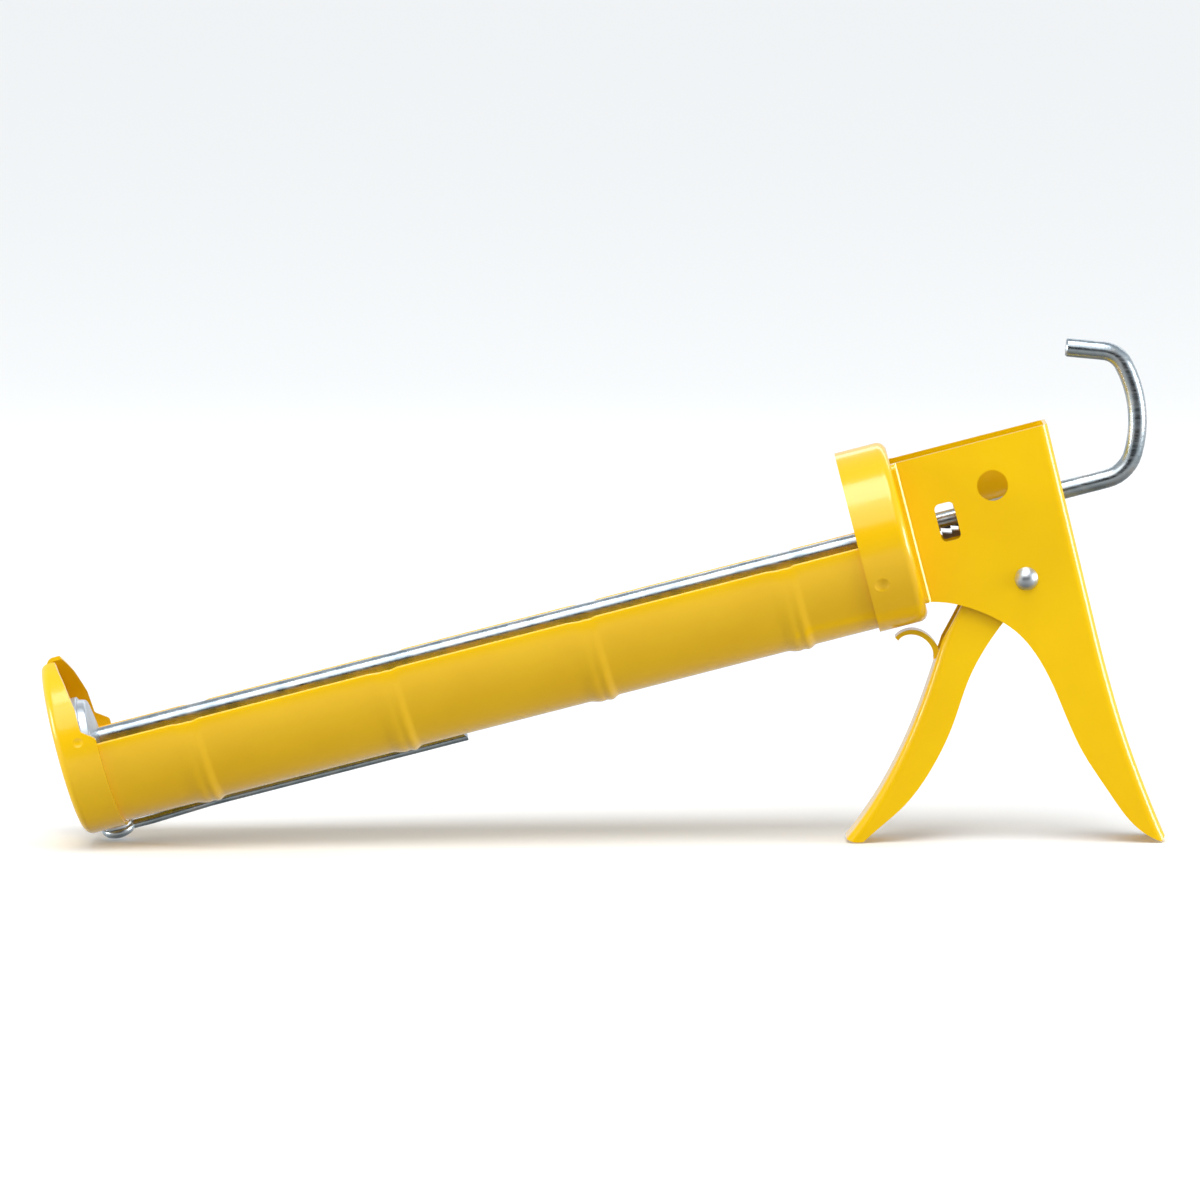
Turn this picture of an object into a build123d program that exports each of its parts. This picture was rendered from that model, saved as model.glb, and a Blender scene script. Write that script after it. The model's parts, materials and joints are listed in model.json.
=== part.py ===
from build123d import *
import math
import os

# Half-barrel caulking gun, in millimetres. It is drawn in the barrel's own frame: x runs along the push
# rod from the front cap's face to the rear, z is square to the rod and up, y is across. At the end every
# piece is leaned back, so that the gun stands on its punch rivet, trigger tip and grip tip, with the
# origin at the middle of its footprint.

# Barrel and its two ends
cradle_radius = 27.9
cradle_wall = 1.0
cradle_top = 0.6
sheet = 1.2
seam_gap = 0.1
cap_depth = 13.2
cap_bend = 2.6
collar_front = 260.0
collar_depth = 16.2
collar_bend = 3.0
nozzle_slot_radius = 9.75
rib_first = 42.1
rib_pitch = 64.5
rib_to_collar = 12.0
rib_height = 1.2
rib_width = 12.4
spot_radius = 1.6
spot_depth = 0.3

# Push rod and piston
rod_radius = 2.95
rod_clearance = 0.25
rod_shoulder = 11.7
hook_from_handle = 14.2
tooth_pitch = 3.2
tooth_depth = 1.05
teeth_first = 24.0
teeth_end_from_pivot = -3.9
spigot_radius = 2.4
bore_clearance = 0.06
piston_radius = 14.2
piston_rim = 3.0
piston_sheet = 1.5
backing_radius = 13.3
backing_depth = 4.0
backing_sheet = 1.2
nut_flats = 8.0
nut_height = 3.0
piston_play = 0.05

# Handle
handle_width = 22.0
handle_top = 22.4
handle_depth = 51.1
handle_rake = 0.9
corner_inside_cap = 6.3
knee_drop = 22.1
flange_reach = 4.0
flange_bend = 1.4
handle_bend = 3.0
grip_kick = 4.0
grip_drop = 92.1
window_from_collar = (13.1, 0.3)
window_size = (6.2, 12.1)
window_corner = 1.7
cutter_hole_from_collar = (29.6, 7.9)
cutter_hole_radius = 4.875

# Trigger and its pivot
pivot_from_corner = (32.7, -0.45)
trigger_width = 18.0
trigger_bend = 2.6
trigger_reach = 75.5
sleeve_radius = 3.2
sleeve_wall = 0.9
pivot_clearance = 0.06
rivet_head_radius = 3.7
rivet_head_height = 2.3
side_play = 0.05
finger_tab_width = 8.0
cutter_arm_top = 14.0

# Pawl, its pin, its spring and the holding catch
pawl_pin_behind_pivot = 2.4
pawl_pin_below_rod = 5.95
pawl_pin_radius = 1.8
pawl_hub_radius = 4.0
pawl_width = 5.0
pawl_reach = 24.5
pawl_drop = 0.5
pawl_thickness = 2.2
spring_wire = 1.4
spring_turns = 5
spring_gap = 0.6
pawl_spring_wire = 0.8
pawl_spring_turns = 3
leg_lap = 0.2
leg_swell = 0.03
catch_sheet = 0.8
catch_width = 7.0
catch_drop = 0.25
catch_rivet_z = -12.0
catch_rivet_radius = 1.5

# Seal punch
punch_x = 9.1
punch_side = 15.0
punch_wire = 2.9
punch_reach = 115.4
punch_eye_radius = 4.0
punch_rivet_radius = 2.48
punch_head_radius = 4.6
punch_head_height = 1.6
washer_radius = 5.2
washer_height = 0.8
stack_gap = 0.04
rib_gap = 0.1

# Sizes that follow from the ones above
cap_radius = cradle_radius + seam_gap + sheet
collar_back = collar_front + collar_depth
rib_count = int((collar_front - rib_to_collar - rib_first) / rib_pitch) + 1
handle_front = collar_back + 0.02
handle_back = collar_back + handle_depth
handle_bottom_front = -(cap_radius - corner_inside_cap)
handle_knee = handle_bottom_front - knee_drop
grip_tip_x = handle_back + grip_kick
grip_tip_z = handle_bottom_front - grip_drop
window_centre = (collar_back + window_from_collar[0], window_from_collar[1])
cutter_hole_centre = (collar_back + cutter_hole_from_collar[0], cutter_hole_from_collar[1])
pivot = (collar_back + pivot_from_corner[0], handle_bottom_front + pivot_from_corner[1])
trigger_tip_x = pivot[0] - trigger_reach
hook_start = handle_back + hook_from_handle
teeth_last = pivot[0] + teeth_end_from_pivot
inner_half = handle_width / 2 - sheet
trigger_half = trigger_width / 2
ear_half = trigger_half - sheet
pawl_pin = (pivot[0] + pawl_pin_behind_pivot, -rod_radius - pawl_pin_below_rod)
pawl_tip_x = pawl_pin[0] - pawl_reach
pawl_top = -rod_radius - pawl_drop
rib_radius = cradle_radius + rib_height
eye_level = cap_radius + washer_height + 2 * stack_gap + punch_wire / 2
head_level = eye_level + punch_wire / 2 + stack_gap
head_ball = (punch_head_radius**2 + punch_head_height**2) / (2 * punch_head_height)


def spot(x, z=0.0, y=0.0):
    return (x, y, z)


def face_of(*edges):
    """A face in the plane y = 0 from edges that close on each other."""
    return make_face(list(edges))


def outline(*points):
    """A straight-sided face in the plane y = 0, from (x, z) points."""
    return make_face(Polyline(*[spot(*p) for p in points], close=True))


def slab(face, y_low, y_high):
    """The face carried across from y_low to y_high, along its own normal."""
    start = y_low if face.face().normal_at().Y > 0 else y_high
    return extrude(Pos(0, start, 0) * face, amount=y_high - y_low)


def turned(*points):
    """A body of revolution about the rod's axis, from (x, radius) points."""
    return revolve(outline(*points), Axis.X)


def cross_pin(centre, radius, y_low, y_high):
    """A round bar across the gun."""
    middle = Pos(centre[0], (y_low + y_high) / 2, centre[1])
    return middle * Rot(90, 0, 0) * Cylinder(radius, y_high - y_low)


def half_tube_space(x_low, x_high, radius):
    return turned((x_low, 0), (x_low, radius), (x_high, radius), (x_high, 0))


def rib_body(x, radius, half_width):
    """A shallow swelling about an axis that lies lower than the rod, so that it fades up the walls."""
    foot = radius - rib_height - 0.1
    bulge = face_of(
        Line(spot(x - half_width, 0), spot(x - half_width, foot)),
        ThreePointArc(spot(x - half_width, foot), spot(x, radius), spot(x + half_width, foot)),
        Line(spot(x + half_width, foot), spot(x + half_width, 0)),
        Line(spot(x + half_width, 0), spot(x - half_width, 0)),
    )
    return Pos(0, 0, -rib_height) * revolve(bulge, Axis.X)


def make_cradle():
    x_low = sheet + cap_bend
    x_high = collar_back - sheet - collar_bend
    outside = half_tube_space(x_low, x_high, cradle_radius)
    inside = half_tube_space(x_low - 1, x_high + 1, cradle_radius - cradle_wall)
    for n in range(rib_count):
        x = rib_first + n * rib_pitch
        outside += rib_body(x, cradle_radius, rib_width / 2)
        inside += rib_body(x, cradle_radius - cradle_wall, rib_width / 2 - 0.2)
    above = Pos((x_low + x_high) / 2, 0, cradle_top + 25) * Box(x_high - x_low + 4, 80, 50)
    return outside - inside - above


def drawn_cup(x_low, x_high, closed_low, bend):
    """A round cup of sheet on the rod's axis, with its floor at one end and a bend round the floor."""
    r = cap_radius
    outside = turned((x_low, 0), (x_low, r), (x_high, r), (x_high, 0))
    if closed_low:
        floor, mouth = x_low + sheet, x_high + 1
    else:
        floor, mouth = x_high - sheet, x_low - 1
    inside = turned((floor, 0), (floor, r - sheet), (mouth, r - sheet), (mouth, 0))
    end = 0 if closed_low else -1
    outside = fillet(outside.edges().group_by(Axis.X)[end], bend)
    inside = fillet(inside.edges().group_by(Axis.X)[end], bend - sheet)
    return outside - inside


def spot_marks(x, z):
    """Two shallow hollows where the electrodes of the spot welder pressed."""
    ball = spot_radius**2 / (2 * spot_depth) + spot_depth / 2
    reach = math.sqrt(cap_radius**2 - z**2) + ball - spot_depth
    return Pos(x, reach, z) * Sphere(ball) + Pos(x, -reach, z) * Sphere(ball)


def make_front_cap():
    cup = drawn_cup(0, cap_depth, True, cap_bend)
    r = cap_radius
    side = make_face(
        FilletPolyline(
            *[spot(-1, -r - 1), spot(cap_depth, -r - 1), spot(cap_depth, 2.6), spot(9.1, 5.6)],
            *[spot(8.8, 13.0), spot(7.0, 21.0), spot(4.2, r), spot(3.8, r + 2), spot(-1, r + 2)],
            radius=1.2,
            close=True,
        )
    )
    cup = cup & slab(side, -r - 1, r + 1)
    slot = Rot(0, 90, 0) * Cylinder(nozzle_slot_radius, 20)
    slot += Pos(0, 0, r / 2 + 5) * Box(20, 2 * nozzle_slot_radius, r + 10)
    cup -= slot
    cup -= spot_marks(7.5, 3.0)
    return cup - punch_hole()


def make_rear_collar():
    cup = drawn_cup(collar_front, collar_back, False, collar_bend)
    cup -= Pos(collar_back, 0, 0) * Rot(0, 90, 0) * Cylinder(rod_radius + rod_clearance, 10)
    return cup - spot_marks(collar_front + 4.4, -14.0)


def bar(start, end, radius):
    """A round bar between two points."""
    run = Vector(*end) - Vector(*start)
    return Plane(start, z_dir=run) * Pos(0, 0, run.length / 2) * Cylinder(radius, run.length)


def edges_along(solid, guide, half):
    """The two edges of a slab that run beside the guide, half the slab's width to each side."""
    middle = guide.center()
    near = []
    for edge in solid.edges():
        centre = edge.center()
        if abs(abs(centre.Y) - half) < 0.01 and math.hypot(centre.X - middle.X, centre.Z - middle.Z) < 0.05:
            near.append(edge)
    return near


def by_web(x, z):
    """A place on the grip, from the top of its back web along x and its front corner in z."""
    return spot(handle_back + x, handle_bottom_front + z)


def by_pivot(x, z):
    """A place on the trigger, from its pivot along x and the handle's front corner in z."""
    return spot(pivot[0] + x, handle_bottom_front + z)


def web_x(z):
    """The outside of the handle's back web at a height above the knee."""
    return handle_back - handle_rake * (handle_top - z) / (handle_top - handle_knee)


def grip_back(shift):
    """The back of the handle: the straight web and the grip below it, moved forward by shift."""
    top = spot(handle_back - shift, handle_top)
    knee = spot(handle_back - handle_rake - shift, handle_knee)
    tip = spot(grip_tip_x - shift, grip_tip_z + 1.4)
    web = Line(top, knee)
    grip = Spline(
        knee,
        by_web(-0.8 - shift, -40.1),
        by_web(0.1 - shift, -59.1),
        by_web(1.9 - shift, -76.1),
        tip,
        tangents=[(-0.013, 0, -1), (0.18, 0, -1)],
    )
    return web, grip


def grip_front(end):
    """The front of the handle from its tip up to the corner by the collar."""
    return Spline(
        end,
        by_web(-3.7, -86.2),
        by_web(-10.0, -72.1),
        by_web(-15.0, -57.1),
        by_web(-17.8, -40.1),
        by_web(-20.1, -28.6),
        by_web(-25.3, -16.5),
        by_web(-34.8, -7.1),
        by_web(-42.9, -2.3),
        spot(handle_front + sheet, handle_bottom_front),
    )


def flange_root(side):
    """The bend where the side plate turns out into the flange."""
    x = handle_front + sheet - 0.2
    y = handle_width / 2 - 0.2
    r = flange_bend + 0.2
    corner = Polyline((x + r, side * y), (x, side * y), (x, side * (y + r)))
    bend = ThreePointArc(corner @ 1, (x + 0.3 * r, side * (y + 0.3 * r)), corner @ 0)
    section = Pos(0, 0, handle_bottom_front) * make_face(corner + bend)
    return extrude(section, amount=handle_top - handle_bottom_front)


def make_handle():
    half = handle_width / 2
    web, grip = grip_back(0)
    toe = spot(grip_tip_x - 1.6, grip_tip_z)
    front_top = spot(handle_front, handle_top)
    front_low = spot(handle_front, handle_bottom_front)
    corner = spot(handle_front + sheet, handle_bottom_front)
    side = face_of(
        web,
        grip,
        Line(grip @ 1, toe),
        grip_front(toe),
        Line(corner, front_low),
        Line(front_low, front_top),
        Line(front_top, web @ 0),
    )
    outside = slab(side, -half, half)
    outside = fillet(edges_along(outside, web, half) + edges_along(outside, grip, half), handle_bend)
    flange = Pos(handle_front + sheet / 2, 0, (handle_top + handle_bottom_front) / 2) * Box(
        sheet, handle_width + 2 * flange_reach, handle_top - handle_bottom_front
    )
    outside += fillet(flange.edges().filter_by(Axis.X), 2.0)
    outside += flange_root(1) + flange_root(-1)
    in_web, in_grip = grip_back(sheet)
    in_top = spot(handle_back - sheet, handle_top + 5)
    far_top = spot(handle_front - 20, handle_top + 5)
    far_low = spot(handle_front - 20, grip_tip_z - 20)
    hollow = face_of(
        in_web,
        in_grip,
        Line(in_grip @ 1, far_low),
        Line(far_low, far_top),
        Line(far_top, in_top),
        Line(in_top, in_web @ 0),
    )
    inside = slab(hollow, -inner_half, inner_half)
    bends = edges_along(inside, in_web, inner_half) + edges_along(inside, in_grip, inner_half)
    inside = fillet(bends, handle_bend - sheet)
    frame = outside - inside
    frame -= Pos(handle_back, 0, 0) * Rot(0, 90, 0) * Cylinder(rod_radius + rod_clearance, 10)
    window = Rot(90, 0, 0) * RectangleRounded(*window_size, window_corner)
    window = Pos(window_centre[0], 0, window_centre[1]) * window
    frame -= extrude(window, amount=handle_width, dir=(0, 1, 0), both=True)
    frame -= cross_pin(cutter_hole_centre, cutter_hole_radius, -half - 1, -inner_half + 1)
    frame -= cross_pin(pivot, sleeve_radius - sleeve_wall, -half - 1, half + 1)
    return frame - catch_rivet_axis() * Cylinder(catch_rivet_radius + 0.05, 12)


def make_trigger_rivet():
    shank = sleeve_radius - sleeve_wall - pivot_clearance
    end = handle_width / 2 + side_play
    rivet = cross_pin(pivot, shank, -end - 0.5, end + 0.5)
    return rivet + dome(pivot, -end, -1) + dome(pivot, end, 1)


def dome(centre, y, side):
    """A low round rivet head that stands out from y."""
    ball = (rivet_head_radius**2 + rivet_head_height**2) / (2 * rivet_head_height)
    head = Pos(centre[0], y + side * (rivet_head_height - ball), centre[1]) * Sphere(ball)
    return head & cross_pin(centre, rivet_head_radius + 1, *sorted((y, y + side * 5)))


def make_pivot_sleeve():
    end = inner_half - side_play
    tube = cross_pin(pivot, sleeve_radius, -end, end)
    return tube - cross_pin(pivot, sleeve_radius - sleeve_wall, -end - 1, end + 1)


def trigger_front(shift):
    """The trigger's front web from its bridge down to the tip, moved in square to the web by shift."""
    points = [(-18.1, 0.9), (-28.7, -10.5), (-35.7, -21.5), (-46.2, -37.0), (-60.0, -53.3)]
    points.append((-trigger_reach, ground_z(trigger_tip_x) + 0.9 - handle_bottom_front))
    return Spline(*[by_pivot(x + 0.82 * shift, z - 0.57 * shift) for x, z in points])


def trigger_back(toe):
    return Spline(
        toe,
        by_pivot(-64.5, -65.9),
        by_pivot(-55.4, -61.2),
        by_pivot(-43.4, -51.3),
        by_pivot(-33.6, -39.5),
        by_pivot(-25.5, -27.2),
        by_pivot(-15.6, -16.6),
        by_pivot(-5.4, -8.7),
    )


def trigger_blank(y_low, y_high):
    """The trigger's outline as a full-width block: the lever, and the ears up to the pawl's pin."""
    front = trigger_front(0)
    toe = spot(trigger_tip_x + 5.0, ground_z(trigger_tip_x + 5.0))
    keel = ThreePointArc(front @ 1, spot(trigger_tip_x + 1.6, ground_z(trigger_tip_x + 1.6) + 0.1), toe)
    back = trigger_back(toe)
    shoulder = (pivot[0] - 14.9, handle_bottom_front + 3.23)
    top = Polyline(back @ 1, spot(pivot[0] - 5.4, pivot[1] + 0.9), spot(*shoulder), front @ 0)
    block = slab(face_of(front, keel, back, top), y_low, y_high)
    block = fillet(edges_along(block, front, trigger_half), trigger_bend)
    neck = [shoulder, (pawl_pin[0] - 4.4, pawl_pin[1] - 1.4), (pawl_pin[0] + 4.5, pawl_pin[1])]
    neck += [(pivot[0] + 8.6, pivot[1]), (pivot[0], pivot[1] - 8.6), (pivot[0] - 12.0, pivot[1] - 10.0)]
    block += slab(outline(*neck), y_low, y_high)
    return block + cross_pin(pivot, 8.7, y_low, y_high) + cross_pin(pawl_pin, 4.6, y_low, y_high)


def cutter_arm():
    """The arm of the near ear that shears a spout put through the hole in the handle."""
    front = cutter_hole_centre[0] + cutter_hole_radius + 0.8
    arm = [(front - 1.5, pawl_pin[1]), (front, pawl_pin[1] + 6), (front, cutter_arm_top)]
    arm += [(front + 6, cutter_arm_top), (front + 6, pawl_pin[1])]
    return slab(outline(*arm), -trigger_half, -ear_half)


def lever_outline(points):
    return make_face(Polyline(*[by_pivot(x, z) for x, z in points], close=True))


def make_trigger():
    """A channel pressed from sheet: a front web and two sides that end in ears."""
    half = trigger_half
    in_front = trigger_front(sheet)
    far_low = spot(trigger_tip_x + 20, ground_z(trigger_tip_x) - 30)
    ceiling = [by_web(13, -37), by_web(13, 33), spot(collar_back - 6, handle_bottom_front + 33)]
    ceiling.append(spot(collar_back - 6, handle_bottom_front + 0.5))
    behind = Polyline(in_front @ 1, far_low, *ceiling, in_front @ 0)
    hollow = slab(face_of(in_front, behind), -ear_half, ear_half)
    hollow = fillet(edges_along(hollow, in_front, ear_half), trigger_bend - sheet)
    channel = trigger_blank(-half, half) - hollow
    opening = [(-46.9, -16.5), (-29.9, -16.5), (-17.4, -4.1), (-21.9, -2.3), (-46.9, -7.1)]
    channel -= slab(lever_outline(opening), -ear_half + 0.8, ear_half - 0.8)
    cut_back = [(-46.9, -16.3), (-32.7, -16.3), (-30.4, -13.1), (-26.7, -9.2), (-21.9, -3.9), (-20.5, -2.4)]
    channel -= slab(lever_outline(cut_back + [(-24.9, -1.1), (-46.9, -5.1)]), -half - 1, half + 1)
    channel += cutter_arm() + make_finger_tab()
    channel -= cross_pin(pivot, sleeve_radius + pivot_clearance, -half - 1, half + 1)
    channel -= cross_pin(pawl_pin, pawl_pin_radius + 0.04, -half - 1, half + 1)
    return channel - cross_pin(pawl_spring_anchor(), pawl_spring_wire / 2 + 0.1, 0, half + 1)


def make_finger_tab():
    """The tongue lanced out of the front web and curled forward for a finger."""
    top = [(-32.3, -18.3), (-33.5, -12.3), (-37.5, -8.4), (-41.3, -7.7), (-44.7, -9.0)]
    bottom = [(-34.7, -18.7), (-35.0, -13.0), (-38.2, -9.8), (-41.3, -9.1), (-44.0, -10.2)]
    over = Spline(*[by_pivot(x, z) for x, z in top])
    under = Spline(*[by_pivot(x, z) for x, z in bottom])
    side = face_of(over, Line(over @ 1, under @ 1), under, Line(under @ 0, over @ 0))
    return slab(side, -finger_tab_width / 2, finger_tab_width / 2)


def torsion_coil(centre, radius, wire, y_start, turns, leg_a, leg_b):
    """A coil about an axis across the gun, whose two straight legs reach the points leg_a and leg_b."""
    pitch = wire * 1.15
    angle = {}
    for name, point, way in (("a", leg_a, -1), ("b", leg_b, 1)):
        reach = math.hypot(point[0] - centre[0], point[1] - centre[1])
        bearing = math.atan2(point[1] - centre[1], point[0] - centre[0])
        angle[name] = bearing + way * math.acos(radius / reach)
    part_turn = ((angle["a"] - angle["b"]) / (2 * math.pi)) % 1
    height = pitch * (turns + part_turn)
    helix = Helix(pitch, height, radius)
    start = Plane(helix @ 0, z_dir=helix % 0)
    coil = sweep(start * Circle(wire / 2), path=helix)
    coil = Rot(-90, 0, 0) * Rot(0, 0, -math.degrees(angle["a"])) * coil
    coil = Pos(centre[0], y_start, centre[1]) * coil
    for name, point, y in (("a", leg_a, y_start), ("b", leg_b, y_start + height)):
        foot = spot(centre[0] + radius * math.cos(angle[name]), centre[1] + radius * math.sin(angle[name]), y)
        run = (Vector(*spot(*point, y)) - Vector(*foot)).normalized()
        coil += bar(Vector(*foot) - run * leg_lap * wire, spot(*point, y), wire / 2 + leg_swell)
    return coil


def make_trigger_spring():
    radius = sleeve_radius + spring_gap + spring_wire / 2
    foot = pivot[1] - 10.9
    on_web = (web_x(foot) - sheet - spring_wire / 2 - 0.08, foot)
    on_bridge = (pivot[0] - 17.3, handle_bottom_front - 2.1)
    return torsion_coil(pivot, radius, spring_wire, -4.0, spring_turns, on_web, on_bridge)


def pawl_spring_anchor():
    return (pawl_pin[0] - 6.4, pawl_pin[1] - 6.6)


def make_pawl_pin():
    end = trigger_half + 0.02
    pin = cross_pin(pawl_pin, pawl_pin_radius, -end - 0.3, end + 0.3)
    for side in (-1, 1):
        pin += cross_pin(pawl_pin, 2.9, *sorted((side * end, side * (end + 0.5))))
    return pin


def make_pawl():
    """Two saw teeth at the front of a bar, on a hub that turns on its pin."""
    low = pawl_top - pawl_thickness
    tip = pawl_tip_x
    notch = pawl_top - tooth_depth
    bar_side = [(tip, low + 0.5), (tip, pawl_top), (tip + tooth_pitch - 0.1, notch)]
    bar_side += [(tip + tooth_pitch, pawl_top), (tip + 2 * tooth_pitch, notch)]
    bar_side += [(pawl_pin[0] - 6, notch - 0.4), (pawl_pin[0], pawl_pin[1] + pawl_hub_radius)]
    bar_side += [(pawl_pin[0], pawl_pin[1] - pawl_hub_radius)]
    bar_side += [(pawl_pin[0] - 7, low - 1.6), (tip + 2 * tooth_pitch, low), (tip + 0.6, low)]
    pawl = slab(outline(*bar_side), -pawl_width / 2, pawl_width / 2)
    pawl += cross_pin(pawl_pin, pawl_hub_radius, -pawl_width / 2, pawl_width / 2)
    hub_end = ear_half - 0.1
    pawl += cross_pin(pawl_pin, pawl_pin_radius + 1.0, -hub_end, hub_end)
    pawl += cross_pin(pawl_lug(), 0.9, 0, pawl_width / 2 + 3.6)
    return pawl - cross_pin(pawl_pin, pawl_pin_radius + pivot_clearance, -hub_end - 1, hub_end + 1)


def pawl_lug():
    """Where the pawl's spring pushes it up."""
    return (pawl_pin[0] - 8.0, pawl_pin[1] + 2.6)


def make_pawl_spring():
    radius = pawl_pin_radius + 1.0 + 0.35 + pawl_spring_wire / 2
    under_lug = (pawl_lug()[0], pawl_lug()[1] - 0.9 - pawl_spring_wire / 2 - 0.08)
    y_start = pawl_width / 2 + 0.6
    spring = torsion_coil(
        pawl_pin, radius, pawl_spring_wire, y_start, pawl_spring_turns - 1, under_lug, pawl_spring_anchor()
    )
    return spring


def make_holding_catch():
    """A leaf on the back web, bent forward so that its edge lies just under the rod's teeth."""
    foot = web_x(-17) - sheet - 0.03
    face = foot - catch_sheet
    level = -rod_radius - catch_drop
    leaf = [(foot, -17), (foot, -8.2), (foot - 5.8, level), (foot - 6.3, level - 0.8)]
    leaf += [(face, -8.8), (face, -17)]
    strip = slab(outline(*leaf), -catch_width / 2, catch_width / 2)
    return strip - catch_rivet_axis() * Cylinder(catch_rivet_radius + 0.04, 12)


def catch_rivet_axis():
    return Pos(web_x(catch_rivet_z), 0, catch_rivet_z) * Rot(0, 90, 0)


def make_catch_rivet():
    """Flush outside, with a flat head on the leaf inside."""
    leaf_face = web_x(-17) - sheet - 0.03 - catch_sheet
    inside = leaf_face - web_x(catch_rivet_z)
    shank = Pos(0, 0, (inside - 0.6) / 2) * Cylinder(catch_rivet_radius, -inside + 0.6)
    flat = Pos(0, 0, inside - 0.5) * Cylinder(2.6, 0.8)
    return catch_rivet_axis() * (shank + flat)


def rod_path():
    """From the shoulder at the piston to the tip of the hook."""
    straight = Line(spot(rod_shoulder), spot(hook_start))
    lower = arc_on(straight, 11.5, 60)
    back = arc_on(lower, 38, 44)
    upper = arc_on(back, 8, 56)
    end = upper @ 1
    way = upper % 1
    return straight + lower + back + upper + Line(end, end + way * 12)


def arc_on(before, radius, turn):
    """An arc that carries on from the end of the line before it, bending upwards."""
    start = before @ 1
    way = before % 1
    side = Vector(-way.Z, 0, way.X)
    centre = start + side * radius
    half = math.radians(turn) / 2
    middle = centre + (way * math.sin(half) - side * math.cos(half)) * radius
    end = centre + (way * math.sin(2 * half) - side * math.cos(2 * half)) * radius
    return ThreePointArc(start, middle, end)


def make_push_rod():
    start = Plane(spot(rod_shoulder), z_dir=(1, 0, 0))
    rod = sweep(start * Circle(rod_radius), path=rod_path())
    rod = chamfer(rod.edges().sort_by(Axis.Z)[-1], 0.5)
    count = int((teeth_last - teeth_first) / tooth_pitch)
    behind_tip = int((teeth_last - pawl_tip_x) / tooth_pitch)
    first = pawl_tip_x - 0.1 + (behind_tip - count) * tooth_pitch
    saw = [(first, -rod_radius - 1)]
    for n in range(count):
        x = first + n * tooth_pitch
        saw += [(x, -rod_radius + tooth_depth), (x + tooth_pitch - 0.3, -rod_radius)]
        saw += [(x + tooth_pitch - 0.02, -rod_radius - 0.02)]
    saw.append((first + count * tooth_pitch - 0.02, -rod_radius - 1))
    rod -= slab(outline(*saw), -rod_radius - 1, rod_radius + 1)
    front = nut_face() - nut_height - 0.4
    root = rod_shoulder + 0.5
    return rod + turned((front, 0), (front, spigot_radius), (root, spigot_radius), (root, 0))


def plate_back():
    return rod_shoulder - piston_play - backing_depth


def nut_face():
    """Where the nut's rear face meets the floor of the piston plate's dish."""
    return plate_back() - 2 * piston_play - piston_sheet


def make_piston_plate():
    back = plate_back() - piston_play
    front = back - piston_rim
    r = piston_radius
    disc = turned((front, 0), (front, r), (back, r), (back, 0))
    disc = fillet(disc.edges().group_by(Axis.X)[0], 1.2)
    disc = fillet(disc.edges().group_by(Axis.X)[-1], 0.4)
    floor = back - piston_sheet
    disc -= turned((front - 1, 0), (front - 1, r - 2.6), (floor, r - 3.4), (floor, 0))
    return disc - piston_bore()


def piston_bore():
    r = spigot_radius + bore_clearance
    return turned((0, 0), (0, r), (rod_shoulder + 1, r), (rod_shoulder + 1, 0))


def make_piston_backing():
    """A dished plate behind the disc; its hollow side faces forward."""
    front = plate_back()
    back = rod_shoulder - piston_play
    r = backing_radius
    t = backing_sheet
    cup = turned((front, 0), (front, r), (back - 1.4, r - 0.7), (back, 5), (back, 0))
    rim = cup.edges().filter_by(GeomType.CIRCLE).sort_by(lambda e: abs(e.center().X - back + 1.4))[0]
    cup = fillet(rim, 1.0)
    inner = [(front - 1, 0), (front - 1, r - t), (back - 1.4 - t, r - 0.7 - t)]
    return cup - turned(*inner, (back - t, 4), (back - t, 0)) - piston_bore()


def make_rod_nut():
    back = nut_face() - piston_play
    nut = extrude(RegularPolygon(nut_flats / 2, 6, major_radius=False), amount=nut_height)
    nut = chamfer(nut.faces().sort_by(Axis.Z)[0].edges(), 0.4)
    nut = Pos(back - nut_height, 0, 0) * Rot(0, 90, 0) * nut
    return nut - piston_bore()


def punch_axis():
    """A frame at the punch's rivet: its z points out of the cap, down and to the far side."""
    return Pos(punch_x, 0, 0) * Rot(180 + punch_side, 0, 0)


def punch_hole():
    return punch_axis() * Pos(0, 0, 30) * Cylinder(punch_rivet_radius + 0.05, 30)


def make_seal_punch():
    """A wire bent to an eye; it dips a little towards the barrel and lies along its ribs."""
    run_level = rib_radius + rib_gap + punch_wire / 2
    wire = punch_wire / 2
    eye = Pos(0, 0, eye_level) * Torus(punch_eye_radius, wire)
    path = FilletPolyline(
        (punch_eye_radius, 0, eye_level),
        (punch_eye_radius + 7, 0, eye_level),
        (punch_eye_radius + 27, 0, run_level),
        (punch_reach, 0, run_level),
        radius=60,
    )
    shaft = sweep(Plane((punch_eye_radius, 0, eye_level), z_dir=(1, 0, 0)) * Circle(wire), path=path)
    point = Pos(punch_reach, 0, run_level) * Rot(0, 40, 0) * Pos(4.0, 0, 0) * Box(8, 10, 14)
    return punch_axis() * (eye + shaft - point)


def make_punch_rivet():
    """Flat head inside the cradle, shank through both sheets and the eye, low dome outside."""
    inner = math.sqrt((cradle_radius - cradle_wall) ** 2 - 16) - 0.04
    shank = Pos(0, 0, (inner + head_level) / 2) * Cylinder(punch_rivet_radius, head_level - inner + 0.4)
    flat = Pos(0, 0, inner - 0.4) * Cylinder(4.0, 0.8)
    dome_centre = head_level + punch_head_height - head_ball
    head = (Pos(0, 0, dome_centre) * Sphere(head_ball)) & (Pos(0, 0, head_level + 5) * Cylinder(8, 10))
    return punch_axis() * (shank + flat + head)


def make_punch_washer():
    level = cap_radius + stack_gap + washer_height / 2
    ring = Cylinder(washer_radius, washer_height) - Cylinder(punch_rivet_radius + 0.05, washer_height + 1)
    return punch_axis() * Pos(0, 0, level) * ring


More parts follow.
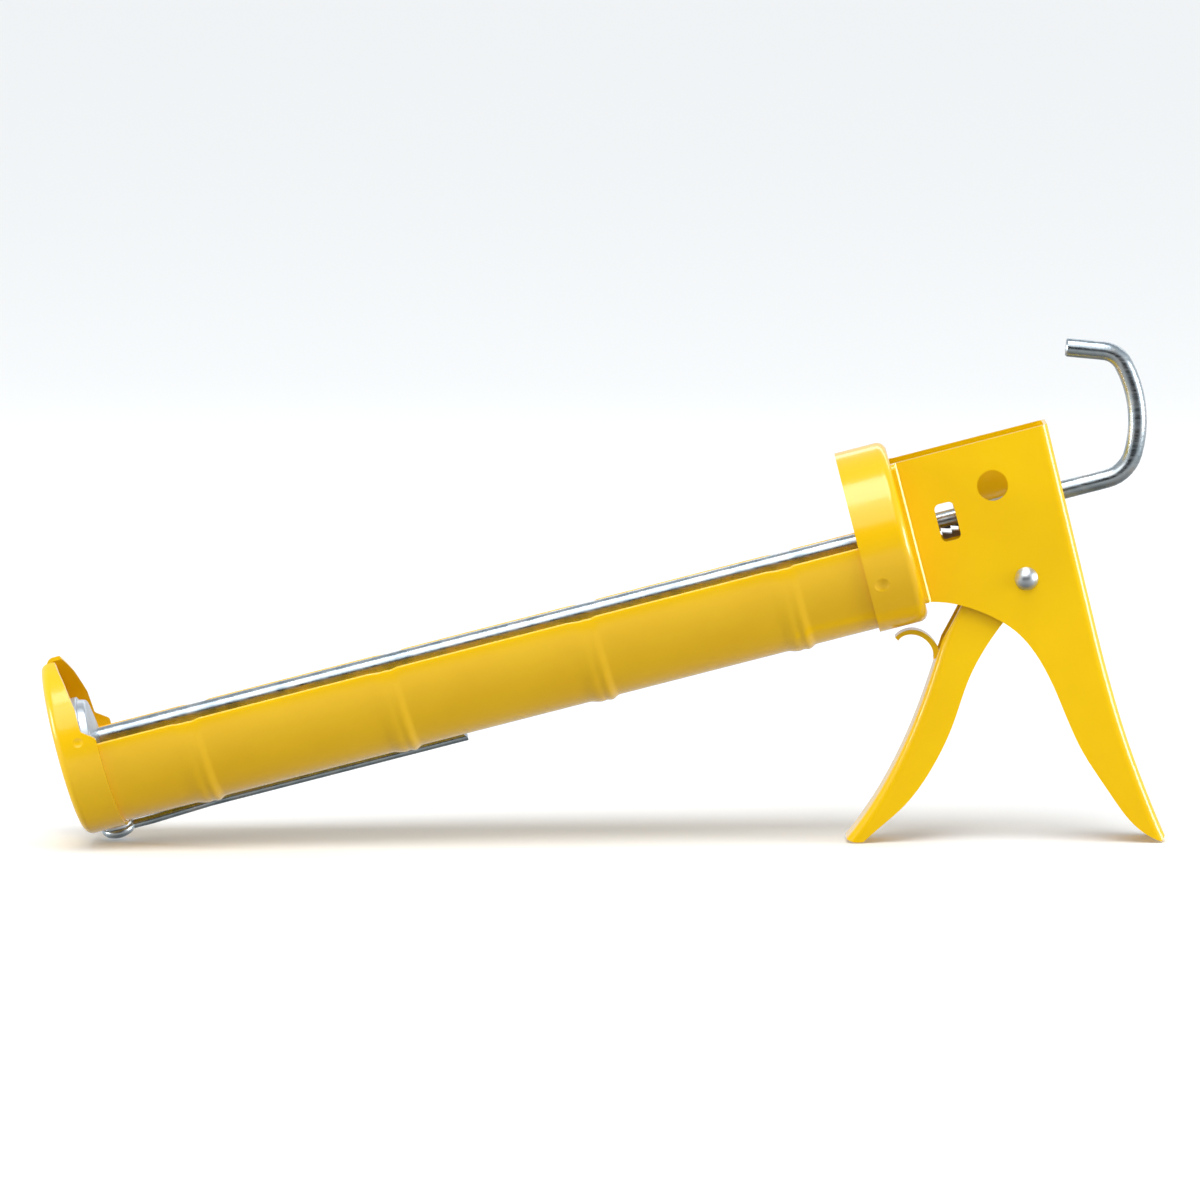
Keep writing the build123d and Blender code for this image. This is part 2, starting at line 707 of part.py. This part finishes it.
def standing_lean():
    """The angle that brings the punch rivet's dome and the grip's toe to one level."""
    ball_z = -(head_level + punch_head_height - head_ball) * math.cos(math.radians(punch_side))
    run = grip_tip_x - 1.6 - punch_x
    rise = ball_z - grip_tip_z
    return math.degrees(math.atan2(rise, run) - math.asin(head_ball / math.hypot(run, rise)))


def ground_z(x):
    """The height of the standing surface in the barrel's frame."""
    toe = grip_tip_x - 1.6
    return grip_tip_z + (toe - x) * math.tan(math.radians(standing_lean()))


pieces = {
    "cradle": make_cradle() - punch_hole(),
    "front_cap": make_front_cap(),
    "rear_collar": make_rear_collar(),
    "handle_frame": make_handle(),
    "trigger_rivet": make_trigger_rivet(),
    "pivot_sleeve": make_pivot_sleeve(),
    "trigger_spring": make_trigger_spring(),
    "trigger": make_trigger(),
    "pawl_pin": make_pawl_pin(),
    "drive_pawl": make_pawl(),
    "pawl_spring": make_pawl_spring(),
    "holding_catch": make_holding_catch(),
    "catch_rivet": make_catch_rivet(),
    "push_rod": make_push_rod(),
    "piston_plate": make_piston_plate(),
    "piston_backing": make_piston_backing(),
    "rod_nut": make_rod_nut(),
    "seal_punch": make_seal_punch(),
    "punch_rivet": make_punch_rivet(),
    "punch_washer": make_punch_washer(),
}

leaned = {name: piece.rotate(Axis.Y, -standing_lean()) for name, piece in pieces.items()}
boxes = [piece.bounding_box() for piece in leaned.values()]
low_x = min(box.min.X for box in boxes)
high_x = max(box.max.X for box in boxes)
low_z = min(box.min.Z for box in boxes)
middle = Pos(-(low_x + high_x) / 2, 0, -low_z)
os.makedirs("parts", exist_ok=True)
for name, piece in leaned.items():
    export_step(middle * piece, f"parts/{name}.step")
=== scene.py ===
import json
import math

import bmesh
import bpy
from mathutils import Euler, Matrix, Vector


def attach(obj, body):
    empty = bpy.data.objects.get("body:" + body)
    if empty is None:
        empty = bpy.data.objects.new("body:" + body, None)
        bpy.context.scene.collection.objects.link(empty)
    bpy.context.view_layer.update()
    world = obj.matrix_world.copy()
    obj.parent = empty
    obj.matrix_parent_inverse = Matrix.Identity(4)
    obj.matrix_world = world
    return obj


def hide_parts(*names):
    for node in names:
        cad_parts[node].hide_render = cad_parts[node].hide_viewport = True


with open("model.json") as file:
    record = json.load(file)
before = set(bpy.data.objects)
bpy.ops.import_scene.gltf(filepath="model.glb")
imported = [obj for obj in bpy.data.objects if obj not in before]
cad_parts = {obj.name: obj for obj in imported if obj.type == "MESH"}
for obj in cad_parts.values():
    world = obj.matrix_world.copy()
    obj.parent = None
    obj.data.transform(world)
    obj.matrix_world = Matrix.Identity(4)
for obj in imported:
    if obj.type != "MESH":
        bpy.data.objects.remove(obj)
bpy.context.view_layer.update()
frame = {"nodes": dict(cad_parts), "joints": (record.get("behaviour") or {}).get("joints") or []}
node = frame["nodes"]
joint = {j["name"]: j for j in frame["joints"]}

# --- Camera -------------------------------------------------------------------------------
# A long lens from the gun's near side, a little above it, so that the side plates show flat
# and a thin strip of each top edge is seen. The frame tilts by a third of a degree.
aim = Vector((-0.0009, 0.0, 0.0767))
distance = 2.397
looking_down = math.radians(90 - 5.616)
swung = math.radians(0.801)
tilt = math.radians(-0.338)
camera_data = bpy.data.cameras.new("studio_camera")
camera_data.lens = 226.8
camera_data.sensor_width = 36.0
camera_data.clip_end = 200.0
camera = bpy.data.objects.new("studio_camera", camera_data)
bpy.context.scene.collection.objects.link(camera)
camera_turn = Euler((looking_down, 0.0, swung), "XYZ").to_matrix()
camera_basis = camera_turn @ Matrix.Rotation(tilt, 3, "Z")
camera_place = aim + camera_basis @ Vector((0, 0, distance))
camera.matrix_world = Matrix.Translation(camera_place) @ camera_basis.to_4x4()
bpy.context.scene.camera = camera


# --- Studio -------------------------------------------------------------------------------
# A wide pale sheet underneath and a broad silk overhead. Two strong square boxes, low at
# either end, draw the ribs and the plates' bends; a weak box in front fills the side plates,
# a strip behind edges the top, and a dark patch in front keeps the enamel's colour deep.
def to_linear(code):
    """An sRGB hex colour as linear red, green, blue and alpha."""
    parts = [int(code[i : i + 2], 16) / 255 for i in (1, 3, 5)]
    linear = [v / 12.92 if v <= 0.04045 else ((v + 0.055) / 1.055) ** 2.4 for v in parts]
    return linear + [1.0]


def add_node(tree, kind, settings=None, **links):
    """A node with its settings; each link gives an input a value or another node's output.

    An input is named with underscores for spaces, or as i0, i1 and so on by its place.
    """
    made = tree.nodes.new(kind)
    for name, value in (settings or {}).items():
        setattr(made, name, value)
    for name, value in links.items():
        numbered = name[0] == "i" and name[1:].isdigit()
        socket = made.inputs[int(name[1:]) if numbered else name.replace("_", " ")]
        if isinstance(value, bpy.types.NodeSocket):
            tree.links.new(value, socket)
        else:
            socket.default_value = value
    return made


def new_material(name):
    """An empty material and its node tree."""
    made = bpy.data.materials.new(name)
    made.use_nodes = True
    made.node_tree.nodes.clear()
    return made, made.node_tree


def finish_material(tree, shader):
    """Joins the shader to the material's surface."""
    output = tree.nodes.new("ShaderNodeOutputMaterial")
    tree.links.new(shader.outputs[0], output.inputs["Surface"])


def softbox(name, place, target, size, radiance, colour="#FFFFFF"):
    """An area light of a given radiance, facing its target."""
    lamp = bpy.data.lights.new(name, "AREA")
    lamp.shape = "RECTANGLE"
    lamp.size, lamp.size_y = size
    lamp.energy = radiance * math.pi * size[0] * size[1]
    lamp.color = to_linear(colour)[:3]
    holder = bpy.data.objects.new(name, lamp)
    bpy.context.scene.collection.objects.link(holder)
    away = Vector(place) - Vector(target)
    facing = away.to_track_quat("Z", "Y").to_matrix().to_4x4()
    holder.matrix_world = Matrix.Translation(place) @ facing


reach = 40.0
below_gun = 0.0003
sheet_corners = [(-reach, -reach, 0), (reach, -reach, 0), (reach, reach, 0), (-reach, reach, 0)]
sweep_mesh = bpy.data.meshes.new("studio_sweep")
sweep_mesh.from_pydata(sheet_corners, [], [(0, 1, 2, 3)])
sweep = bpy.data.objects.new("studio_sweep", sweep_mesh)
bpy.context.scene.collection.objects.link(sweep)
sweep.location.z = -below_gun
# Matt white paper gives an even white with no sheen. It is a shade darker for every ray but
# the camera's own, so that it shows white and still throws little light up under the gun.
paper, tree = new_material("white_paper")
seen = add_node(tree, "ShaderNodeLightPath").outputs["Is Camera Ray"]
tone = add_node(
    tree,
    "ShaderNodeMix",
    {"data_type": "RGBA"},
    i0=seen,
    i6=to_linear("#BDBDBB"),
    i7=to_linear("#EDEDEC"),
)
shader = add_node(
    tree, "ShaderNodeBsdfPrincipled", Base_Color=tone.outputs[2], Roughness=0.9
)
finish_material(tree, shader)
sweep_mesh.materials.append(paper)
sweep.visible_glossy = False

sun = bpy.data.lights.new("overhead_silk", "SUN")
sun.angle = math.radians(38)
sun.energy = 1.9
sun_holder = bpy.data.objects.new("overhead_silk", sun)
bpy.context.scene.collection.objects.link(sun_holder)
sun_holder.rotation_euler = (math.radians(22), 0.0, math.radians(-6))
gun_middle = (0.0, 0.0, 0.08)
just_below = (0.0, 0.0, 0.07)
softbox("front_box", (-0.5, -2.2, 1.7), gun_middle, (2.6, 1.4), 1.7, "#FDFEFF")
softbox("left_box", (-2.7, -0.5, 0.4), gun_middle, (1.0, 1.0), 13.0)
softbox("right_box", (2.7, -0.55, 0.45), gun_middle, (1.0, 0.9), 14.0)
softbox("rear_strip", (0.35, 1.3, 1.0), just_below, (1.6, 0.3), 2.2)

world = bpy.data.worlds.new("studio_room")
bpy.context.scene.world = world
world.use_nodes = True
tree = world.node_tree
tree.nodes.clear()
sky = add_node(tree, "ShaderNodeTexCoord").outputs["Generated"]
way = add_node(tree, "ShaderNodeSeparateXYZ", Vector=sky)
soft = {"interpolation_type": "SMOOTHSTEP"}
beside = add_node(
    tree, "ShaderNodeMapRange", soft, i0=way.outputs["Y"], i1=-0.93, i2=-0.62, i3=0.0, i4=1.0
)
below = add_node(
    tree, "ShaderNodeMapRange", soft, i0=way.outputs["Z"], i1=-0.15, i2=-0.34, i3=0.0, i4=1.0
)
lit = add_node(
    tree, "ShaderNodeMath", {"operation": "MAXIMUM"}, i0=beside.outputs[0], i1=below.outputs[0]
)
height = add_node(
    tree, "ShaderNodeMapRange", i0=way.outputs["Z"], i1=-1.0, i2=1.0, i3=0.0, i4=1.0
)
room = add_node(tree, "ShaderNodeValToRGB", i0=height.outputs[0])
ramp = room.color_ramp
ramp.elements[0].color = to_linear("#6E6E6C")
ramp.elements[1].color = to_linear("#A4AAB0")
ramp.elements.new(0.3).color = to_linear("#C8C8C6")
ramp.elements.new(0.52).color = to_linear("#ECEFF2")
shade = add_node(
    tree,
    "ShaderNodeMix",
    {"data_type": "RGBA"},
    i0=lit.outputs[0],
    i6=to_linear("#0E0F10"),
    i7=room.outputs[0],
)
glow = add_node(tree, "ShaderNodeBackground", Color=shade.outputs[2], Strength=1.0)
finish = tree.nodes.new("ShaderNodeOutputWorld")
tree.links.new(glow.outputs[0], finish.inputs["Surface"])
bpy.context.scene.view_settings.view_transform = "Standard"
bpy.context.scene.view_settings.look = "None"

# --- Barrel -------------------------------------------------------------------------------
# The cradle is 1 mm steel sheet rolled to a half tube, with four shallow ribs pressed
# outwards, and sprayed with a glossy yellow enamel that thins to a round at the cut edges.
lean = Vector(joint["rod_slide"]["axis"])
upward = Vector((-lean.z, 0.0, lean.x))
across = Vector((0.0, 1.0, 0.0))
rod_shoulder = 0.0117
cap_face = Vector(joint["rod_turn"]["pos_m"]) - lean * rod_shoulder


def gun_point(x, z, y=0.0):
    """A place given along, above and across the rod's axis, from the front of the cap."""
    return cap_face + lean * x + upward * z + across * y


def enamel(name, colour, deep):
    """Solvent enamel sprayed on steel: a clear, saturated yellow with a glassy top coat.

    Its colour drifts a little over 35 mm, where the spray went on thicker. Orange peel of
    2.2 mm softens the reflections, and a dust nib stands up every 16 mm or so.
    """
    cloud_size, peel_size, nib_spacing = 0.035, 0.0022, 0.016
    nib_radius, nib_height = 0.035, 1.2
    made, tree = new_material(name)
    place = add_node(tree, "ShaderNodeTexCoord").outputs["Object"]
    cloud = add_node(
        tree,
        "ShaderNodeTexNoise",
        Vector=place,
        Scale=1 / cloud_size,
        Detail=3.0,
        Roughness=0.5,
    )
    tone = add_node(
        tree, "ShaderNodeMapRange", i0=cloud.outputs[0], i1=0.35, i2=0.65, i3=0.0, i4=1.0
    )
    mix = add_node(
        tree,
        "ShaderNodeMix",
        {"data_type": "RGBA"},
        i0=tone.outputs[0],
        i6=to_linear(deep),
        i7=to_linear(colour),
    )
    peel = add_node(
        tree, "ShaderNodeTexNoise", Vector=place, Scale=1 / peel_size, Detail=2.0, Roughness=0.4
    )
    nibs = add_node(
        tree, "ShaderNodeTexVoronoi", Vector=place, Scale=1 / nib_spacing, Randomness=1.0
    )
    nib = add_node(
        tree,
        "ShaderNodeMapRange",
        {"interpolation_type": "SMOOTHSTEP"},
        i0=nibs.outputs["Distance"],
        i1=0.0,
        i2=nib_radius,
        i3=1.0,
        i4=0.0,
    )
    height = add_node(
        tree,
        "ShaderNodeMath",
        {"operation": "MULTIPLY_ADD"},
        i0=nib.outputs[0],
        i1=nib_height,
        i2=peel.outputs[0],
    )
    skin = add_node(
        tree, "ShaderNodeBump", Height=height.outputs[0], Strength=0.35, Distance=0.00006
    )
    shader = add_node(
        tree,
        "ShaderNodeBsdfPrincipled",
        Base_Color=mix.outputs[2],
        Roughness=0.22,
        IOR=1.5,
        Coat_Weight=0.35,
        Coat_Roughness=0.08,
        Normal=skin.outputs[0],
    )
    finish_material(tree, shader)
    return made


def dress(name, material):
    """Gives a CAD piece one material over its whole surface."""
    mesh = node[name].data
    mesh.materials.clear()
    mesh.materials.append(material)


# The barrel, cap and collar take a copy of the same yellow set a shade darker than the handle's:
# painted shade, standing in for the duller light on the rolled barrel.
shaded_barrel_enamel = enamel("yellow_enamel_barrel_shaded", "#EFBF08", "#EBB904")

wall = 0.001
cradle_radius = 0.0279
edge_height = 0.0003
cradle_start = 0.0038
cradle_end = 0.272
first_rib = 0.0421
rib_pitch = 0.0645
rib_places = [first_rib + n * rib_pitch for n in range(4)]
rib_height = 0.0012
rib_half = 0.0066
rib_fade = 0.8
edge_dip = 0.0005
fine_step = 0.0005
coarse_step = 0.0025
arc_steps = 72
round_steps = 5


def bump(offset, half):
    """A smooth bump: 1 at its middle, 0 beyond half to either side."""
    return 0.5 + 0.5 * math.cos(math.pi * offset / half) if abs(offset) < half else 0.0


def one_rib(offset):
    """A rib's rise: a broad swelling, and a sharper ridge where the die left the sheet."""
    swelling = 0.7 * bump(offset + 0.0016, 0.0044)
    ridge = 0.74 * bump(offset - 0.0018, 0.0024)
    return swelling + ridge


def cradle_section(x):
    """One closed cross-section: along the outside, round the edge, back along the inside."""
    swell = max(one_rib(x - place) for place in rib_places)
    dip = swell * edge_dip / cradle_radius
    top = math.pi / 2 + math.asin(edge_height / cradle_radius) - dip
    middle = cradle_radius - wall / 2
    outside = [(-top + 2 * top * i / arc_steps, cradle_radius) for i in range(arc_steps + 1)]
    inside = [(-turn, cradle_radius - wall) for turn, _ in outside]
    bows = [math.pi * i / round_steps for i in range(1, round_steps)]
    out = [(math.sin(bow) * wall / 2 / middle, math.cos(bow) * wall / 2) for bow in bows]
    far_edge = [(top + turn, middle + rise) for turn, rise in out]
    near_edge = [(-top - turn, middle - rise) for turn, rise in out]
    points = []
    for turn, radius in outside + far_edge + inside + near_edge:
        lift = rib_height * swell * max(math.cos(turn), 0.0) ** rib_fade
        reached = radius + lift
        points.append(gun_point(x, -reached * math.cos(turn), reached * math.sin(turn)))
    return points


stations = [cradle_start]
while stations[-1] < cradle_end - 0.0004:
    to_rib = min(abs(stations[-1] - place) for place in rib_places)
    step = fine_step if to_rib < rib_half + 0.0015 else coarse_step
    stations.append(min(stations[-1] + step, cradle_end))
sections = [cradle_section(x) for x in stations]
ring = len(sections[0])
corners = [p for section in sections for p in section]
last = (len(sections) - 1) * ring
quads = []
for start in range(0, last, ring):
    for k in range(ring):
        a, b = start + k, start + (k + 1) % ring
        quads.append((a, b, b + ring, a + ring))
ends = [tuple(range(ring))[::-1], tuple(range(last, last + ring))]
cradle_mesh = bpy.data.meshes.new("rolled_cradle")
cradle_mesh.from_pydata(corners, [], quads + ends)
outward = bmesh.new()
outward.from_mesh(cradle_mesh)
bmesh.ops.recalc_face_normals(outward, faces=outward.faces)
outward.to_mesh(cradle_mesh)
outward.free()
cradle_mesh.shade_smooth()
cradle_mesh.materials.append(shaded_barrel_enamel)
rolled_cradle = bpy.data.objects.new("rolled_cradle", cradle_mesh)
bpy.context.scene.collection.objects.link(rolled_cradle)
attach(rolled_cradle, "frame")
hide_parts("cradle")

# --- Front cap and rear collar ------------------------------------------------------------
# Two cups drawn from 1.2 mm sheet and spot-welded round the cradle's ends, painted with it.
# The electrodes left a shallow round hollow on each side.
dress("front_cap", shaded_barrel_enamel)
dress("rear_collar", shaded_barrel_enamel)

# --- Handle and trigger -------------------------------------------------------------------
# Both are folded from 1.2 mm sheet: the handle's two side plates share a back web, and the
# trigger's share a front web. They take the gun's one yellow enamel at its full tone, and it
# also covers the rivet that the catch swings on.
handle_enamel = enamel("yellow_enamel_handle", "#F2C400", "#EEBE00")
dress("handle_frame", handle_enamel)
dress("trigger", handle_enamel)
dress("catch_rivet", handle_enamel)


# --- Push rod, piston, rivets and punch ---------------------------------------------------
# The rod and the punch are drawn mild steel wire; the piston, the rivets and the washers are
# pressed or headed. All of them are bright zinc plated.
def zinc_plate(name, along, tints, smoothest):
    """Bright zinc plate: a blue-white metal, slightly cloudy, that blurs what it mirrors.

    The cloud is 7 mm across and turns from blue to faintly yellow where the passivation is
    thicker. The die's lines are drawn 0.9 mm wide, which is coarser than real ones, so that
    they show; along is how much they are stretched along the rod.
    """
    cloud_size, line_width, spread = 0.007, 0.0009, 0.18
    made, tree = new_material(name)
    place = add_node(tree, "ShaderNodeTexCoord").outputs["Object"]
    turn = (0.0, math.atan2(lean.z, lean.x), 0.0)
    laid = add_node(
        tree,
        "ShaderNodeMapping",
        {"vector_type": "POINT"},
        Vector=place,
        Rotation=turn,
        Scale=along,
    )
    lines = add_node(
        tree,
        "ShaderNodeTexNoise",
        Vector=laid.outputs[0],
        Scale=1 / line_width,
        Detail=3.0,
        Roughness=0.6,
    )
    cloud = add_node(
        tree,
        "ShaderNodeTexNoise",
        Vector=place,
        Scale=1 / cloud_size,
        Detail=3.0,
        Roughness=0.55,
    )
    tone = add_node(
        tree, "ShaderNodeMapRange", i0=cloud.outputs[0], i1=0.3, i2=0.7, i3=0.0, i4=1.0
    )
    tint = add_node(tree, "ShaderNodeValToRGB", i0=tone.outputs[0])
    ramp = tint.color_ramp
    ramp.elements[0].color = to_linear(tints[0])
    ramp.elements[1].color = to_linear(tints[2])
    ramp.elements.new(0.55).color = to_linear(tints[1])
    rough = add_node(
        tree,
        "ShaderNodeMapRange",
        i0=lines.outputs[0],
        i1=0.3,
        i2=0.7,
        i3=smoothest,
        i4=smoothest + spread,
    )
    skin = add_node(
        tree, "ShaderNodeBump", Height=lines.outputs[0], Strength=0.25, Distance=0.00004
    )
    shader = add_node(
        tree,
        "ShaderNodeBsdfPrincipled",
        Base_Color=tint.outputs[0],
        Metallic=1.0,
        Roughness=rough.outputs[0],
        Normal=skin.outputs[0],
    )
    finish_material(tree, shader)
    return made


drawn_tints = ("#98A6B0", "#BBC6CD", "#CFCECC")
pressed_tints = ("#C3CDD5", "#D3DAE0", "#DDDBDA")
drawn_zinc = zinc_plate("zinc_plated_drawn_steel", (0.08, 1.0, 1.0), drawn_tints, 0.2)
pressed_zinc = zinc_plate("zinc_plated_pressed_steel", (1.0, 1.0, 1.0), pressed_tints, 0.3)
for name in ("push_rod", "seal_punch"):
    dress(name, drawn_zinc)
for name in ("piston_plate", "piston_backing", "rod_nut", "pawl_pin"):
    dress(name, pressed_zinc)
for name in ("trigger_rivet", "pivot_sleeve", "punch_rivet", "punch_washer"):
    dress(name, pressed_zinc)


# --- Pawl, catch and springs --------------------------------------------------------------
# The pawl and the catch are blanked from thick strip and case-hardened. The springs are wound
# from bare music wire, darker and smoother.
def bare_steel(name, light, dark, roughness):
    """Unplated steel: a dull grey metal, patchy over 2.5 mm where the oil film lies.

    Its grain is drawn at 0.4 mm, coarser than the real one, which roughens the highlights.
    """
    patch_size, grain_size = 0.0025, 0.0004
    made, tree = new_material(name)
    place = add_node(tree, "ShaderNodeTexCoord").outputs["Object"]
    cloud = add_node(
        tree,
        "ShaderNodeTexNoise",
        Vector=place,
        Scale=1 / patch_size,
        Detail=4.0,
        Roughness=0.6,
    )
    mix = add_node(
        tree,
        "ShaderNodeMix",
        {"data_type": "RGBA"},
        i0=cloud.outputs[0],
        i6=to_linear(dark),
        i7=to_linear(light),
    )
    grain = add_node(
        tree,
        "ShaderNodeTexNoise",
        Vector=place,
        Scale=1 / grain_size,
        Detail=2.0,
        Roughness=0.5,
    )
    skin = add_node(
        tree, "ShaderNodeBump", Height=grain.outputs[0], Strength=0.3, Distance=0.00002
    )
    shader = add_node(
        tree,
        "ShaderNodeBsdfPrincipled",
        Base_Color=mix.outputs[2],
        Metallic=1.0,
        Roughness=roughness,
        Normal=skin.outputs[0],
    )
    finish_material(tree, shader)
    return made


hardened = bare_steel("case_hardened_steel", "#B3B0AA", "#8C8984", 0.36)
music_wire = bare_steel("music_wire", "#A6A6A8", "#7E7F82", 0.25)
dress("drive_pawl", hardened)
dress("holding_catch", hardened)
dress("trigger_spring", music_wire)
dress("pawl_spring", music_wire)
